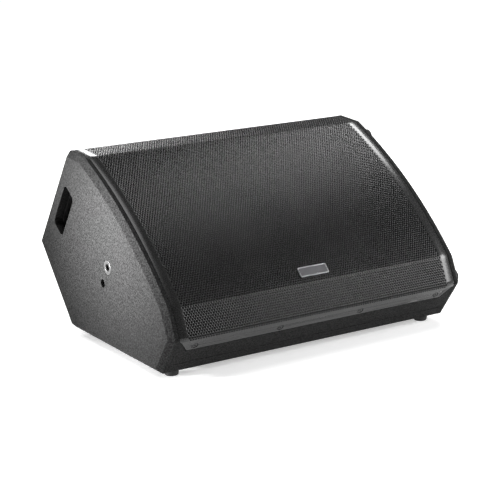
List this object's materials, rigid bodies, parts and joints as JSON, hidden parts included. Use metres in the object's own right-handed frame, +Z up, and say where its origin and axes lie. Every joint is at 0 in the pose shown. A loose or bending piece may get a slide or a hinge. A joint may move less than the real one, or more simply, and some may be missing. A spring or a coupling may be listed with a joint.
{
  "type": "stage monitor wedge",
  "caption": "Low wedge loudspeaker with a curved perforated front, coaxial driver, reflex ports, side handles and a rear amplifier panel with sockets and controls.",
  "frame": {"origin": "centre of the bounding box on the surface that the feet stand on", "axes": "+X to the right of someone facing the grille, +Y from the grille to the rear panel, +Z up"},
  "size_m": [0.546, 0.4392, 0.3035],
  "materials": {
    "textured_paint": "textured paint on plywood",
    "grille_steel": "semi-gloss powder coat",
    "acoustic_foam": "open-cell foam",
    "zinc_steel": "zinc plated",
    "screw_black": "black oxide",
    "foot_rubber": "matte",
    "handle_plastic": "matte",
    "badge_metal": "satin",
    "cast_frame": "matte",
    "magnet": "matte",
    "pole_steel": "machined",
    "cone_paper": "pressed pulp",
    "spider_cloth": "resin-dipped cloth",
    "coil_wire": "enamelled wire",
    "diaphragm_metal": "satin",
    "wadding": "felted fibre",
    "amp_plate": "fine satin powder coat",
    "heatsink_metal": "black anodised",
    "circuit_board": "solder mask",
    "connector_plastic": "moulded",
    "control_plastic": "moulded",
    "lamp_lens": "translucent",
    "lead_rubber": "matte"
  },
  "bodies": {
    "cabinet": {"side_panel_left": "textured_paint", "side_panel_right": "textured_paint", "bottom_panel": "textured_paint", "rear_lower_panel": "textured_paint", "rear_upper_panel": "textured_paint", "front_lower_panel": "textured_paint", "baffle_board": "textured_paint", "grille": "grille_steel", "grille_foam": "acoustic_foam", "woofer_gasket": "acoustic_foam", "amp_cover": "zinc_steel", "bracket_insert_left": "screw_black", "bracket_insert_right": "screw_black", "grille_screw_1": "screw_black", "grille_screw_2": "screw_black", "grille_screw_3": "screw_black", "grille_screw_4": "screw_black", "woofer_bolt_1": "screw_black", "woofer_bolt_2": "screw_black", "woofer_bolt_3": "screw_black", "woofer_bolt_4": "screw_black", "foot_front_left": "foot_rubber", "foot_front_right": "foot_rubber", "foot_rear_left": "foot_rubber", "foot_rear_right": "foot_rubber", "side_foot_nose": "foot_rubber", "side_foot_top": "foot_rubber", "surround": "foot_rubber", "handle_cup_left": "handle_plastic", "handle_cup_right": "handle_plastic", "port_tube_left": "handle_plastic", "port_tube_right": "handle_plastic", "hf_horn": "handle_plastic", "badge": "badge_metal", "woofer_frame": "cast_frame", "hf_rear_cover": "cast_frame", "magnet_ring": "magnet", "hf_driver_body": "magnet", "top_plate": "pole_steel", "back_plate": "pole_steel", "spider": "spider_cloth", "damping_pad": "wadding", "amp_panel": "amp_plate", "heatsink": "heatsink_metal", "amplifier_board": "circuit_board", "power_supply_board": "circuit_board", "control_board": "circuit_board", "input_connector": "connector_plastic", "link_connector": "connector_plastic", "mains_inlet": "connector_plastic", "switch_housing": "connector_plastic", "power_lamp": "lamp_lens", "speaker_lead": "lead_rubber"},
    "woofer_moving": {"cone": "cone_paper", "voice_coil": "coil_wire"},
    "hf_moving": {"hf_diaphragm": "diaphragm_metal"},
    "rocker": {"power_rocker": "control_plastic"},
    "knob": {"level_knob": "control_plastic"},
    "button": {"mode_button": "control_plastic"},
    "latch": {"input_latch": "zinc_steel"}
  },
  "joints": [
    {"name": "woofer_travel", "type": "slide", "parent": "cabinet", "child": "woofer_moving", "axis": [0, -0.5915, 0.8063], "range_m": [-0.004, 0.004], "stiffness_N_per_m": 6000, "deforming": ["surround", "spider"]},
    {"name": "hf_travel", "type": "slide", "parent": "cabinet", "child": "hf_moving", "axis": [0, -0.5915, 0.8063], "range_m": [-0.0003, 0.0003], "stiffness_N_per_m": 20000},
    {"name": "level_turn", "type": "hinge", "parent": "cabinet", "child": "knob", "pos_m": [0.127, 0.14201, 0.24612], "axis": [0, 0.8162, 0.5777], "range_deg": [-150, 150]},
    {"name": "power_tilt", "type": "hinge", "parent": "cabinet", "child": "rocker", "pos_m": [0.017, 0.13467, 0.24092], "axis": [-1, 0, 0], "range_deg": [0, 16]},
    {"name": "mode_press", "type": "slide", "parent": "cabinet", "child": "button", "axis": [0, -0.8162, -0.5777], "range_m": [0, 0.0015], "stiffness_N_per_m": 300, "springref_m": -0.001},
    {"name": "latch_press", "type": "slide", "parent": "cabinet", "child": "latch", "axis": [0, -0.8162, -0.5777], "range_m": [0, 0.001], "stiffness_N_per_m": 300, "springref_m": -0.001}
  ]
}
